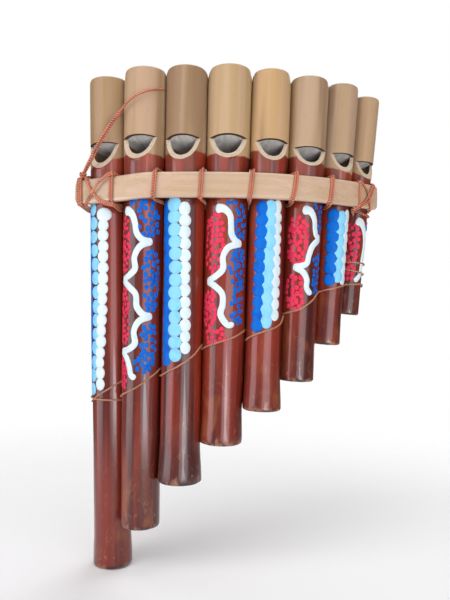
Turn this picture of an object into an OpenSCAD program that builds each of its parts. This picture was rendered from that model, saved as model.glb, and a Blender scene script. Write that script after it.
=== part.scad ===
// Pan flute: eight stopped bamboo pipes with whistle heads, lashed in a bowed
// row between two split-bamboo slats. It stands upright, +Z along the pipes,
// with its front towards -Y. The origin is on the axis of pipe 4, halfway up
// the slats. Millimetres. Lists give one value per pipe, longest pipe first.

/* [Pipes] */
// Height of each mouth rim above the middle of the slats
head_top = [66.5, 69, 69, 69.5, 67.5, 65.5, 64.5, 60.5]; // [50:0.5:80]
// Depth of each foot below the middle of the slats
foot_depth = [223, 195.5, 168, 146, 126.5, 110, 89, 71]; // [60:0.5:260]
// Outer radius at the head
head_r = [11.4, 12.2, 11.4, 12, 10.8, 10.8, 9, 7.6]; // [7:0.1:13]
// Outer radius behind the slat
slat_r = [11.4, 12, 11.4, 12.2, 10.5, 10.6, 8.8, 7.4]; // [7:0.1:13]
// Outer radius just above the foot
low_r = [11.1, 11.2, 11.2, 11.9, 10, 10.2, 8.5, 7.6]; // [7:0.1:13]
// Outer radius of the foot, where the natural node swells
foot_r = [11.6, 11.2, 12.4, 12.5, 11, 10.3, 8.7, 7.8]; // [7:0.1:13]
// Thickness of the bamboo wall
wall = 1.9; // [1.5:0.1:2.2]
// Height over which a foot swells
flare_h = 22; // [12:1:30]
// Rounding of the sanded pipe ends
end_round = 1.6; // [0.8:0.1:1.8]
// Thickness of the natural node that stops each pipe
node_t = 3; // [2:0.5:5]
// Depth of the hollow under the node
foot_hollow = 5; // [2:0.5:8]

/* [Row] */
// Space between neighbouring pipes behind the slat
pipe_gap = 1; // [1:0.1:2]
// Direction of the step from each pipe to the next, in degrees from +X
step_angle = [-23.5, -11, 0, -2.5, 12, 19, 30]; // [-40:0.5:40]
// Sideways lean of each pipe, head towards +X, in degrees
lean_x = [-1.7, -0.6, -0.25, 0.4, 0.7, 1.75, 2.9, 4.25]; // [-5:0.05:5]
// Lean of each pipe, head towards +Y, in degrees
lean_y = [-1.3, -0.2, 0.5, -0.3, 0.4, -0.4, -1.6, -2.6]; // [-3:0.1:3]

/* [Windows] */
// Height of each window's upper edge above the middle of the slats
window_z = [27.5, 29.5, 29, 29.5, 27, 24.5, 23.5, 21.5]; // [18:0.5:35]
// Height of each window, from its upper edge to the foot of its ramp
window_h = [14.8, 14, 14.6, 13.6, 12.2, 11.2, 10.6, 10]; // [9:0.1:16]
// Depth of each window's cut at its upper edge
window_depth = [6.2, 5.8, 6.1, 6, 5.7, 5.8, 5, 4.6]; // [2.6:0.1:6.5]
// Direction that each window faces, in degrees from the front towards +X
window_turn = [-24, -18, -12, -2, 10, 12, 24, 34]; // [-45:1:45]
// Slope of each window's upper cut, falling towards the back, in degrees
window_slope = [4, 10, 14, 14, 8, 6, 3, 3]; // [2:1:20]
// Slope of the underside of the blocks behind the cut, in degrees
block_slope = 9; // [0:1:15]
// Thickness of the air duct between each block and its pipe
duct_t = 1.2; // [0.8:0.1:1.6]

/* [Slats] */
// Height of both slats
slat_h = 14.8; // [12:0.1:18]
// Thickness of the front slat
front_t = 3.4; // [2.5:0.1:4]
// Thickness of the back slat
back_t = 3; // [2:0.1:4]
// Length of the front slat beyond the first pipe's contact point
front_left = 16; // [12:0.5:20]
// Length of the front slat beyond the last pipe's contact point
front_right = 6; // [3:0.5:8]
// Bow of the back slat, in millimetres per square millimetre of half width
back_bow = 0.0025; // [0.002:0.0001:0.003]

/* [Cords] */
// Diameter of the waxed cord of the ties and lashings
tie_d = 0.9; // [0.7:0.05:0.95]
// Diameter of the thin cord round the lower row
binding_d = 0.8; // [0.6:0.1:1]
// Diameter of the hanging loop's cord
loop_d = 1; // [0.8:0.1:1.2]

/* [Hidden] */

$fn = 64;
clear = 0.3;          // space between a slat and the pipes it bears on
fit = 0.05;           // space round a fipple block in its bore
block_short = 0.3;    // how far a block stops short of the deepest point of its window's cut
last = len(head_top) - 1;
middle = 3;           // the pipe whose axis passes through the origin
ring_sides = 8;       // sides of a cord's tube

// Place of each pipe's axis at the height of the slats' middle.
function step(i) = slat_r[i] + slat_r[i + 1] + pipe_gap;
function pipe_at(i) =
    i == middle ? [0, 0]
    : i > middle ? pipe_at(i - 1) + step(i - 1) * [cos(step_angle[i - 1]), sin(step_angle[i - 1])]
    : pipe_at(i + 1) - step(i) * [cos(step_angle[i]), sin(step_angle[i])];
centres = [for (i = [0:last]) pipe_at(i)];

// Unit vectors along the row and out of its front, for a direction in degrees.
function along(a) = [cos(a), sin(a)];
function front(a) = [sin(a), -cos(a)];

// Direction of the front slat where it bears on each pipe.
end_turn = 5.5;       // how much further the slat turns at the end pipes
bearing = [for (i = [0:last])
    i == 0 ? step_angle[0] - end_turn
    : i == last ? step_angle[last - 1] + end_turn
    : (step_angle[i - 1] + step_angle[i]) / 2];

// Inner face of the front slat: a smooth curve through its contact points.
contact = [for (i = [0:last]) centres[i] + (slat_r[i] + clear) * front(bearing[i])];
function hermite(p, q, a, b, t) =
    let (l = norm(q - p))
    (2 * t * t * t - 3 * t * t + 1) * p + (t * t * t - 2 * t * t + t) * l * along(a)
    + (3 * t * t - 2 * t * t * t) * q + (t * t * t - t * t) * l * along(b);
function bend(a, b, t) = a + (b - a) * t;
curve_steps = 4;
front_curve = concat(
    [[contact[0] - front_left * along(bearing[0] - end_turn), bearing[0] - end_turn]],
    [for (i = [0:last - 1], k = [0:curve_steps - 1])
        [hermite(contact[i], contact[i + 1], bearing[i], bearing[i + 1], k / curve_steps),
         bend(bearing[i], bearing[i + 1], k / curve_steps)]],
    [[contact[last], bearing[last]]],
    [[contact[last] + front_right * along(bearing[last]), bearing[last]]]);

// Inner face of the back slat: a shallow bow that bears on the widest pipe.
back_middle = 3;      // where the bow is deepest, along X
back_y = slat_r[middle] + clear + 0.1;
function back_at(x) = back_y + back_bow * (x - back_middle) * (x - back_middle);
back_left_x = -88;  // ends of the back slat, along X
back_right_x = 91;

// A point of a pipe's own frame, in the part's frame.
function tilt(i, p) =
    let (a = -lean_y[i], b = lean_x[i],
         y = p[1] * cos(a) - p[2] * sin(a), z = p[1] * sin(a) + p[2] * cos(a))
    [centres[i][0] + p[0] * cos(b) + z * sin(b), centres[i][1] + y, z * cos(b) - p[0] * sin(b)];
module in_pipe(i)
    translate([centres[i][0], centres[i][1], 0]) rotate([-lean_y[i], lean_x[i], 0]) children();

// Half outline of a pipe, from the hollow under its node, round and back down its bore.
function bore_r(i) = head_r[i] - wall;
function low_bore_r(i) = low_r[i] - wall;
round_steps = 4;
function pipe_outline(i) =
    let (foot = -foot_depth[i], top = head_top[i], f = foot_r[i], l = low_r[i],
         node_z = foot + foot_hollow)
    concat(
        [[0, node_z], [low_bore_r(i) - 1, node_z], [low_bore_r(i) - 1, foot]],
        [for (k = [0:round_steps])
            let (a = -90 + 90 * k / round_steps)
            [f - end_round + end_round * cos(a), foot + end_round + end_round * sin(a)]],
        [for (t = [0.2:0.2:1])
            [f + (l - f) * (1 - cos(180 * t)) / 2, foot + end_round + (flare_h - end_round) * t]],
        [[slat_r[i], -slat_h / 2], [slat_r[i], slat_h / 2], [head_r[i], window_z[i]]],
        [for (k = [0:round_steps])
            let (a = 90 * k / round_steps)
            [head_r[i] - end_round + end_round * cos(a), top - end_round + end_round * sin(a)]],
        [[bore_r(i), top], [bore_r(i), window_z[i] - window_h[i]],
         [low_bore_r(i), node_z + node_t + 10], [low_bore_r(i), node_z + node_t],
         [0, node_z + node_t]]);

// The wedge that a saw and a knife take out of the pipe for its window.
cut_over = 3;         // how far the wedge reaches beyond the pipe
module window_wedge(i) {
    r = head_r[i];
    rise = tan(window_slope[i]);
    inner = [window_depth[i] - r, window_z[i] - window_depth[i] * rise];
    ramp = (inner[1] - (window_z[i] - window_h[i])) / window_depth[i];
    rotate([0, 0, window_turn[i]]) rotate([90, 0, 90])
        linear_extrude(height = 4 * r, center = true)
            polygon([inner, [-r - cut_over, window_z[i] + cut_over * rise],
                     [-r - cut_over, window_z[i] - window_h[i] - cut_over * ramp]]);
}

module pipe(i) {
    color(i % 2 == 0 ? "sienna" : "brown") in_pipe(i) difference() {
        rotate_extrude() polygon(pipe_outline(i));
        window_wedge(i);
    }
}

// The block that fills the head above the window and leaves the air duct. Its underside
// carries on from the window's upper cut and falls towards the back.
module fipple_block(i) {
    r = bore_r(i) - fit;
    rise = tan(window_slope[i]);
    deep = window_depth[i] - head_r[i];
    inner = window_z[i] - window_depth[i] * rise + block_short;
    back = inner - (r + cut_over - deep) * tan(block_slope);
    low = back - 1;
    color("burlywood") in_pipe(i) difference() {
        translate([0, 0, low]) cylinder(r = r, h = head_top[i] - low);
        rotate([0, 0, window_turn[i]]) rotate([90, 0, 90])
            linear_extrude(height = 4 * r, center = true)
                polygon([[deep, inner], [-r - cut_over, inner + (deep + r + cut_over) * rise],
                         [-r - cut_over, low - 1], [r + cut_over, low - 1], [r + cut_over, back]]);
        rotate([0, 0, window_turn[i]]) translate([-r, -2 * r + duct_t, low - 1])
            cube([2 * r, r, head_top[i] - low + 2]);
    }
}

// The front slat follows the fronts of the pipes.
module front_slat() {
    inner = [for (c = front_curve) c[0]];
    outer = [for (k = [len(front_curve) - 1:-1:0])
        front_curve[k][0] + front_t * front(front_curve[k][1])];
    color("tan") translate([0, 0, -slat_h / 2]) linear_extrude(height = slat_h)
        polygon(concat(inner, outer));
}

module back_slat() {
    steps = 24;
    xs = [for (k = [0:steps]) back_left_x + (back_right_x - back_left_x) * k / steps];
    color("tan") translate([0, 0, -slat_h / 2]) linear_extrude(height = slat_h)
        polygon(concat([for (x = xs) [x, back_at(x)]],
                       [for (k = [steps:-1:0]) [xs[k], back_at(xs[k]) + back_t]]));
}

// A tube along a list of points: a ring square to the path at each point.
function unit(v) = v / norm(v);
function heading(p, k) =
    unit(p[min(k + 1, len(p) - 1)] - p[max(k - 1, 0)]);
function sides(p, k) =
    k == 0 ? let (t = heading(p, 0), s = cross(t, abs(t[2]) > 0.9 ? [1, 0, 0] : [0, 0, 1])) [unit(s)]
    : let (past = sides(p, k - 1), t = heading(p, k), v = past[k - 1])
      concat(past, [unit(v - (v * t) * t)]);
module tube(p, d) {
    n = len(p);
    side = sides(p, n - 1);
    rings = [for (k = [0:n - 1])
        let (t = heading(p, k), u = side[k], v = cross(t, u))
        for (j = [0:ring_sides - 1])
            let (a = 360 * j / ring_sides)
            p[k] + d / 2 * (cos(a) * u + sin(a) * v)];
    walls = [for (k = [0:n - 2], j = [0:ring_sides - 1])
        let (a = k * ring_sides + j, b = k * ring_sides + (j + 1) % ring_sides)
        [a, b, b + ring_sides, a + ring_sides]];
    polyhedron(
        points = rings,
        faces = concat(walls,
            [[for (j = [ring_sides - 1:-1:0]) j]],
            [[for (j = [0:ring_sides - 1]) (n - 1) * ring_sides + j]]));
}

// The middle of the space between pipe i and the next, and distances from it
// along the front normal to the outer faces of the two slats.
function gap_at(i) = centres[i] + (slat_r[i] + pipe_gap / 2) * along(step_angle[i]);
function to_front(i) =
    (hermite(contact[i], contact[i + 1], bearing[i], bearing[i + 1], 0.5) - gap_at(i))
    * front(step_angle[i]) + front_t;
function back_guess(i, s) =
    let (g = gap_at(i) - s * front(step_angle[i]))
    (back_at(g[0]) - gap_at(i)[1]) / cos(step_angle[i]);
function to_back(i) = back_guess(i, back_guess(i, slat_r[i])) + (back_t + 0.4) / cos(step_angle[i]);

// A tie makes one or two turns round both slats, through the space between two pipes.
// Its strands lie side by side on the slats and one above the other in the space.
corner = 0.8;         // how far a cord's corners are cut
lay = 0.1;            // space between a cord and what it lies on
over = slat_h / 2 + tie_d / 2 + lay;   // height of a cord lying on a slat's edge
layer = tie_d + lay;                   // height of one cord lying on another
ties_doubled = 6;     // the ties that make two turns; the last makes one
module slat_tie(i) {
    a = step_angle[i];
    g = gap_at(i);
    f = to_front(i) + tie_d / 2 + lay;
    b = -to_back(i) - tie_d / 2;
    w = i < ties_doubled ? layer / 2 : 0;
    straight = 6;     // half length of the stretch between the pipes
    function at(u, s, z) = [g[0] + u * front(a)[0] + s * cos(a), g[1] + u * front(a)[1] + s * sin(a), z];
    function turn(s, z) = [
        at(b, s, z - corner), at(b + corner, s, z), at(-straight, 0, z), at(straight, 0, z),
        at(f - corner, s, z), at(f, s, z - corner), at(f, s, corner - z),
        at(f - corner, s, -z), at(straight, 0, -z), at(-straight, 0, -z), at(b + corner, s, -z)];
    color("chocolate") tube(concat(
        [at(b, -w, -3)], turn(-w, over), [at(b, w == 0 ? -layer : 0, corner - over)],
        w == 0 ? [at(b, -layer, -2)]
        : concat(turn(w, over + layer), [at(b, w, corner - over - layer), at(b, w, -4)])), tie_d);
}

// Where a cord lies on the ends of the front slat's face, by distance along the face
// from the end pipe's contact point, and by how far it is lifted off the face.
face = front_t + tie_d / 2 + lay;
left_along = bearing[0] - end_turn;
function left_face(s, z, lift = 0) =
    let (p = contact[0] - s * along(left_along) + (face + lift) * front(left_along)) [p[0], p[1], z];
function right_face(s, z, lift = 0) =
    let (p = contact[last] + s * along(bearing[last]) + (face + lift) * front(bearing[last]))
    [p[0], p[1], z];
// Where a cord lies on the back slat's outer face.
function on_back(x, z) = [x, back_at(x) + back_t + 1.25 * (tie_d / 2 + lay), z];
// A place in the space between pipe i and the next, by distance towards its front.
function in_gap(i, u, z) =
    let (p = gap_at(i) + u * front(step_angle[i])) [p[0], p[1], z];

// One turn round both slats, between a place on the front and a place on the back.
function turn_round(f, b, z) =
    let (e = corner * unit([f[0] - b[0], f[1] - b[1], 0]))
    [f + [0, 0, z - corner], f - e + [0, 0, z], b + e + [0, 0, z], b + [0, 0, z - corner],
     b + [0, 0, corner - z], b + e - [0, 0, z], f - e - [0, 0, z], f + [0, 0, corner - z]];

// The lashing at the left end: two turns outside pipe 1, and two strands that cross.
module left_lashing() {
    color("chocolate") {
        tube(concat(turn_round(left_face(9, 0), on_back(-84.6, 0), over),
                    turn_round(left_face(10.2, 0), on_back(-85.8, 0), over)), tie_d);
        for (up = [-1, 1]) {
            z = up * (over + 2 * layer);
            lift = up > 0 ? 1.1 : 0;
            tube([on_back(-63.2, z - up * 3), on_back(-63.2, z), in_gap(0, -6, z), in_gap(0, 6, z),
                  left_face(-8, z - up * 0.5, -1.2), left_face(-6, up * over, 0),
                  left_face(-2.5, up * 4, lift), left_face(0.5, 0, lift),
                  left_face(3.4, -up * 4, lift), left_face(6.4, -up * (over - corner), 0),
                  left_face(7, -up * (over + layer), -corner), left_face(7.2, -up * (over + layer), -8),
                  on_back(-83.4, -up * (over + layer)), on_back(-83.4, -up * (over - corner)),
                  on_back(-83.4, -up * 1)], tie_d);
        }
    }
}

// The lashing at the right end: two strands that cross on the slat beside pipe 8.
module right_lashing() {
    color("chocolate") for (up = [-1, 1]) {
        z = up * (over + 2 * layer);
        lift = up > 0 ? 1.1 : 0;
        tube([on_back(67.8, z - up * 3), on_back(67.8, z), in_gap(last - 1, -6, z), in_gap(last - 1, 4, z),
              right_face(-7.8, z - up * 0.5, -1.2), right_face(-6, up * over, 0.2),
              right_face(-2.6, up * 4, lift), right_face(-0.8, 0, lift),
              right_face(1, -up * 4, lift), right_face(2, -up * (over - corner), 0),
              right_face(2.6, -up * (over + layer), -corner), right_face(2.9, -up * (over + layer), -8),
              on_back(88, -up * (over + layer)), on_back(88, -up * (over - corner)),
              on_back(88, -up * 1)], tie_d);
    }
}

// Height of the thin cord at the left and right of each pipe's front.
binding_z = [[-122, -113], [-119, -105], [-106.5, -91.5], [-92, -81.5],
             [-86.5, -71], [-71.5, -59], [-59, -54.5], [-53.5, -53]];
// A pipe's outer radius at a height between the slat and the foot's swelling.
function r_at(i, z) =
    slat_r[i] + (low_r[i] - slat_r[i]) * (-z - slat_h / 2) / (foot_depth[i] - flare_h - slat_h / 2);
// A place on a pipe's surface, at an angle from the front towards +X.
function on_pipe(i, a, z, lift) =
    let (r = r_at(i, z) + lift) tilt(i, [r * sin(a), -r * cos(a), z]);

// The thin cord runs over the fronts of the pipes, dips between them, and comes back
// behind them. It takes one extra turn round the longest pipe.
module lower_binding() {
    rub = binding_d / 2 + 0.15;
    ring = 25;
    fronts = [for (i = [0:last], a = [-50:ring:50])
        let (t = (a + 50) / 100)
        on_pipe(i, a, bend(binding_z[i][0], binding_z[i][1], t), rub)];
    backs = [for (i = [last:-1:0], a = i == last ? [85, 120, 160, 200] : [160, 200])
        on_pipe(i, a, (binding_z[i][0] + binding_z[i][1]) / 2, rub)];
    extra = [for (a = [235:ring:310]) on_pipe(0, a, -121 - (a - 235) / 60, rub)];
    color("peru") {
        tube(concat(fronts, backs, extra), binding_d);
        tube([for (a = [-75:ring:80]) on_pipe(0, a, -126.5 + abs(a) / 60, rub)], binding_d);
    }
}

// The hanging loop leaves the knot at the slat's left end, crosses the fronts of the
// first two heads, goes behind the second head and comes back beside itself.
loop_route = [
    [-85.8, 7, 9], [-83.5, 3.6, 12], [-80.2, 0.6, 17], [-77.2, -0.8, 22.5], [-74, -1.2, 28],
    [-70.5, -1.6, 34], [-66.5, -2.6, 39.5], [-62, -4.6, 44], [-57.5, -8, 47.6], [-52.5, -9.9, 50.6],
    [-47.5, -9.6, 53], [-43, -7.2, 55], [-39.4, -3.2, 56.6], [-37.4, 2, 57.6], [-37.2, 7.5, 57.6],
    [-39.8, 13.2, 56.4], [-45, 17, 54.6], [-51, 18.1, 52.6], [-57, 16.4, 50.6], [-61.4, 12.4, 48.6],
    [-63.4, 7.5, 46.4], [-64, 3, 43.6], [-65.4, -0.6, 40], [-68.6, -0.9, 34.5], [-72, 0, 29],
    [-75, 0.6, 23.6], [-78, 1.6, 18], [-81.4, 3.8, 13], [-84.6, 7.4, 10]
];
module hanging_loop() {
    color("chocolate") tube(loop_route, loop_d);
}

module loop_knot() {
    color("chocolate") translate([-86.3, 9.6, 8.6]) sphere(r = 1.9, $fn = 24);
}

pipe(0);  // pipe_1
pipe(1);  // pipe_2
pipe(2);  // pipe_3
pipe(3);  // pipe_4
pipe(4);  // pipe_5
pipe(5);  // pipe_6
pipe(6);  // pipe_7
pipe(7);  // pipe_8
fipple_block(0);  // fipple_block_1
fipple_block(1);  // fipple_block_2
fipple_block(2);  // fipple_block_3
fipple_block(3);  // fipple_block_4
fipple_block(4);  // fipple_block_5
fipple_block(5);  // fipple_block_6
fipple_block(6);  // fipple_block_7
fipple_block(7);  // fipple_block_8
front_slat();
back_slat();
slat_tie(0);  // slat_tie_1
slat_tie(1);  // slat_tie_2
slat_tie(2);  // slat_tie_3
slat_tie(3);  // slat_tie_4
slat_tie(4);  // slat_tie_5
slat_tie(5);  // slat_tie_6
slat_tie(6);  // slat_tie_7
left_lashing();
right_lashing();
lower_binding();
hanging_loop();
loop_knot();
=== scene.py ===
"""Pan flute: the looks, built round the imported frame.

Lengths are millimetres, angles are degrees, and lists give one value per pipe, longest first. The
driving sizes repeat the part's own source, apart from those under "looks". An angle round a pipe is
measured from its front (-Y) towards +X.
"""
import random
from math import acos, atan, atan2, cos, exp, pi, radians, sin, sqrt, tan

import bmesh
import bpy
import numpy as np
from mathutils import Matrix, Vector


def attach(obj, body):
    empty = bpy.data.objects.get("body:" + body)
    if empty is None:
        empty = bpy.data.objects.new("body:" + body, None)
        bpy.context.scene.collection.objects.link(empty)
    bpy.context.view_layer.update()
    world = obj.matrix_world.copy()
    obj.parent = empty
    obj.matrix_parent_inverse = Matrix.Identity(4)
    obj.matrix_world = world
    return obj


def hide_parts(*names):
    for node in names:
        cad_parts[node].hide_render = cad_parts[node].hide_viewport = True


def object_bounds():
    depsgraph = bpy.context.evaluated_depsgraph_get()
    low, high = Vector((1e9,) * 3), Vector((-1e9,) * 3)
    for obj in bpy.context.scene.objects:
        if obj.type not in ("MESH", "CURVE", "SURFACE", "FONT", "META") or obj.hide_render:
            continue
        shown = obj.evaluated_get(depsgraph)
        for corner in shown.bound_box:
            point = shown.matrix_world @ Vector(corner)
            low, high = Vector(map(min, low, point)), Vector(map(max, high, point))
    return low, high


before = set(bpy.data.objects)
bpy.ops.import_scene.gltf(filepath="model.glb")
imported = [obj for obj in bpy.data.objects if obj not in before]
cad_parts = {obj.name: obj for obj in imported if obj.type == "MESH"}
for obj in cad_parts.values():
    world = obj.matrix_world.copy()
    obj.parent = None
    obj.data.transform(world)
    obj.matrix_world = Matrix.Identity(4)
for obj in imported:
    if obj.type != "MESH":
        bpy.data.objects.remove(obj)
cad_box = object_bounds()

MM = 0.001

# ---- driving sizes: the pipes
HEAD_TOP = [66.5, 69, 69, 69.5, 67.5, 65.5, 64.5, 60.5]     # mouth rims above the slats' middle
FOOT_DEPTH = [223, 195.5, 168, 146, 126.5, 110, 89, 71]     # feet below it
HEAD_R = [11.4, 12.2, 11.4, 12, 10.8, 10.8, 9, 7.6]
SLAT_R = [11.4, 12, 11.4, 12.2, 10.5, 10.6, 8.8, 7.4]
LOW_R = [11.1, 11.2, 11.2, 11.9, 10, 10.2, 8.5, 7.6]
FOOT_R = [11.6, 11.2, 12.4, 12.5, 11, 10.3, 8.7, 7.8]
WALL = 1.9
FLARE_H = 22          # height over which a foot swells
NODE_T = 3
FOOT_HOLLOW = 5
LAST = len(HEAD_TOP) - 1
MIDDLE = 3            # the pipe whose axis passes through the origin

# ---- driving sizes: the row
PIPE_GAP = 1
STEP_ANGLE = [-23.5, -11, 0, -2.5, 12, 19, 30]              # from each pipe to the next
LEAN_X = [-1.7, -0.6, -0.25, 0.4, 0.7, 1.75, 2.9, 4.25]
LEAN_Y = [-1.3, -0.2, 0.5, -0.3, 0.4, -0.4, -1.6, -2.6]

# ---- driving sizes: the windows and blocks
WINDOW_Z = [27.5, 29.5, 29, 29.5, 27, 24.5, 23.5, 21.5]     # upper edges
WINDOW_H = [14.8, 14, 14.6, 13.6, 12.2, 11.2, 10.6, 10]
WINDOW_DEPTH = [6.2, 5.8, 6.1, 6, 5.7, 5.8, 5, 4.6]
WINDOW_TURN = [-24, -18, -12, -2, 10, 12, 24, 34]           # which way each window faces
WINDOW_SLOPE = [4, 10, 14, 14, 8, 6, 3, 3]                  # fall of the upper cuts, inwards
DUCT_T = 1.2
FIT = 0.05            # space round a block in its bore
BLOCK_SHORT = 0.3     # how far a block stops short of its window's deepest point

# ---- driving sizes: the slats
SLAT_H = 14.8
FRONT_T = 3.4
BACK_T = 3
FRONT_RIGHT = 6       # length beyond the last pipe's contact point
BACK_LEFT_X = -88
BACK_RIGHT_X = 91
BACK_BOW = 0.0025
BACK_MIDDLE = 3       # where the bow is deepest, along X
CLEAR = 0.3           # space between a slat and the pipes it bears on
END_TURN = 5.5        # how much further the front slat turns at the end pipes

# ---- looks: sizes that differ from the plain solids
BLOCK_SLOPE = 18      # the visible underside is dressed steeper
HOLLOW = 0.1          # depth of a window's scooped knife face, as a share of its height
FRONT_LEFT = 15.2     # the front slat's corners are worn back
TIE_D = 1.18          # cords as thick as their wax and twist make them look
BINDING_D = 0.95
LOOP_D = 1.18
KNOT_D = 1.6

# ---- the cords' places
BINDING = [           # the thin cord on each pipe, as (angle, height)
    [(-52, -124.4), (-38, -122.3), (6, -116.8), (47, -112.6), (66, -111)],
    [(-70, -120.6), (-55, -119.2), (2, -113.3), (58, -105.4), (72, -103.6)],
    [(-72, -107.8), (-40, -105.4), (0, -101.2), (40, -95.4), (58, -92), (72, -90.6)],
    [(-74, -92.4), (-40, -90.2), (-8, -87.8), (30, -84.8), (62, -81.8), (76, -81)],
    [(-75, -86.8), (-50, -85), (-25, -83.2), (0, -81.3), (30, -79.3), (53, -77.2), (68, -74.8),
     (78, -73)],
    [(-74, -72.2), (-52, -71.2), (-3, -68.5), (38, -63), (54, -60), (70, -58.4)],
    [(-66, -58.8), (-30, -57.4), (0, -56.1), (40, -54.2), (66, -53.2)],
    [(-66, -53.8), (-33, -53.4), (0, -52.6), (42, -52), (72, -52.2)]]
LOOP_ROUTE = [        # from the knot, over the first head, round the second, and back
    [-85.8, 7, 9], [-83.5, 3.6, 12], [-80.2, 0.6, 17], [-77.2, -0.8, 22.5], [-74, -1.2, 28],
    [-70.5, -1.6, 34], [-66.5, -2.6, 39.5], [-62, -4.6, 44], [-57.5, -8, 47.6], [-52.5, -9.9, 50.6],
    [-47.5, -9.6, 53], [-43, -7.2, 55], [-39.4, -3.2, 56.6], [-37.4, 2, 57.6], [-37.2, 7.5, 57.6],
    [-39.8, 13.2, 56.4], [-45, 17, 54.6], [-51, 18.1, 52.6], [-57, 16.4, 50.6], [-61.4, 12.4, 48.6],
    [-63.4, 7.5, 46.4], [-64, 3, 43.6], [-65.6, -0.7, 40], [-69, -0.9, 34.7], [-72.4, 0, 29.2],
    [-75.4, 0.6, 23.8], [-78.4, 1.6, 18.2], [-81.7, 3.8, 13.1], [-84.7, 7.4, 10]]
KNOT_AT = [-86.3, 9.6, 8.6]


# ---- places
def along(a):
    return np.array([cos(radians(a)), sin(radians(a))])


def front(a):
    return np.array([sin(radians(a)), -cos(radians(a))])


def pipe_centres():
    centres = {MIDDLE: np.zeros(2)}
    for i in range(MIDDLE + 1, LAST + 1):
        reach = SLAT_R[i - 1] + SLAT_R[i] + PIPE_GAP
        centres[i] = centres[i - 1] + reach * along(STEP_ANGLE[i - 1])
    for i in range(MIDDLE - 1, -1, -1):
        reach = SLAT_R[i] + SLAT_R[i + 1] + PIPE_GAP
        centres[i] = centres[i + 1] - reach * along(STEP_ANGLE[i])
    return centres


CENTRES = pipe_centres()
BEARING = [STEP_ANGLE[0] - END_TURN] + [
    (STEP_ANGLE[i - 1] + STEP_ANGLE[i]) / 2 for i in range(1, LAST)] + [STEP_ANGLE[-1] + END_TURN]
CONTACT = [CENTRES[i] + (SLAT_R[i] + CLEAR) * front(BEARING[i]) for i in range(LAST + 1)]


def pipe_frame(i):
    """From a pipe's own frame, which stands on its axis at the slats' middle, to the part's."""
    x, y = CENTRES[i] * MM
    return (Matrix.Translation((x, y, 0)) @ Matrix.Rotation(radians(LEAN_X[i]), 4, "Y")
            @ Matrix.Rotation(radians(-LEAN_Y[i]), 4, "X"))


def window_frame(i):
    """A pipe's own frame, turned so that its window faces -Y."""
    return pipe_frame(i) @ Matrix.Rotation(radians(WINDOW_TURN[i]), 4, "Z")


def circle(steps):
    return np.linspace(0, 2 * pi, steps, endpoint=False)


def run_along(points):
    """The distance from a line's start to each of its points."""
    return np.concatenate([[0], np.cumsum(np.linalg.norm(np.diff(points, axis=0), axis=1))])


def directions(path):
    head = np.gradient(path, axis=0)
    return head / np.linalg.norm(head, axis=1)[:, None]


def smooth_step(t):
    t = np.clip(t, 0, 1)
    return t * t * (3 - 2 * t)


def outer_r(i, z):
    """A pipe's outer radius at a height, with the swelling of the natural node at its foot."""
    foot = -FOOT_DEPTH[i]
    r = np.interp(z, [foot + FLARE_H, -SLAT_H / 2, SLAT_H / 2, WINDOW_Z[i]],
                  [LOW_R[i], SLAT_R[i], SLAT_R[i], HEAD_R[i]])
    swell = (1 - np.cos(pi * np.clip((foot + FLARE_H - z) / FLARE_H, 0, 1))) / 2
    return r + (FOOT_R[i] - LOW_R[i]) * swell


def axis_at(i, z):
    return CENTRES[i] + z * np.tan(np.radians([LEAN_X[i], LEAN_Y[i]]))


def wobble(i, angle, z):
    """How far a grown cane is from round, in millimetres. The angle is in radians."""
    a = 1.7 * i
    return (0.10 * np.cos(2 * angle + a) + 0.05 * np.cos(3 * angle - 2 * a + z / 38)
            + 0.05 * np.sin(z / 19 + a) + 0.03 * np.sin(z / 7.3 + 5 * a + 2 * np.cos(angle)))


def swell_to_neighbours(i, angle, z):
    """How far a pipe swells towards its neighbours, so that the canes close up as they lie."""
    swell = 0.0
    for k in (i - 1, i + 1):
        if not 0 <= k <= LAST:
            continue
        step = axis_at(k, z) - axis_at(i, z)
        bearing = atan2(step[0], -step[1])
        gap = (np.linalg.norm(step) - outer_r(i, z) - outer_r(k, z)
               - wobble(i, bearing, z) - wobble(k, bearing + pi, z))
        both_there = smooth_step((z + min(FOOT_DEPTH[i], FOOT_DEPTH[k]) + 2) / 8)
        below_rim = smooth_step((min(HEAD_TOP[i], HEAD_TOP[k]) - 0.5 - z) / 3)
        clear_of_slats = smooth_step((abs(z) - 8.6) / 2.5)
        share = (0.5 * max(gap, 0) + 0.03) * both_there * below_rim * clear_of_slats
        swell += share * np.clip(np.cos(angle - bearing), 0, 1) ** 6
    return swell


def on_pipe(i, degrees, z, lift):
    """A place on or over a pipe's surface, in the part's frame and in millimetres."""
    a = np.radians(degrees)
    r = outer_r(i, z) + wobble(i, a, z) + lift
    place = pipe_frame(i) @ Vector((r * sin(a) * MM, -r * cos(a) * MM, z * MM))
    return np.array(place) / MM


def add_object(name, data, matrix=Matrix()):
    made = bpy.data.objects.new(name, data)
    made.matrix_world = matrix
    bpy.context.scene.collection.objects.link(made)
    return made


# ---- camera
CAMERA_AT = Vector((0, -342, -73.07))
CAMERA_TILT = 91.5    # 90 looks level
CAMERA_ROLL = 1.2
LENS = 35.52          # the focal length, for a sensor 36 mm wide


def make_camera():
    data = bpy.data.cameras.new("camera")
    data.sensor_width = 36
    data.lens = LENS
    turn = (Matrix.Rotation(radians(CAMERA_TILT), 4, "X")
            @ Matrix.Rotation(radians(CAMERA_ROLL), 4, "Z"))
    place_at = Matrix.Translation(CAMERA_AT * MM)
    bpy.context.scene.camera = add_object("camera", data, place_at @ turn)


# ---- material helpers; lengths inside a material are metres
def srgb(red, green, blue):
    def linear(v):
        v /= 255
        return v / 12.92 if v <= 0.04045 else ((v + 0.055) / 1.055) ** 2.4
    return linear(red), linear(green), linear(blue), 1.0


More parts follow.
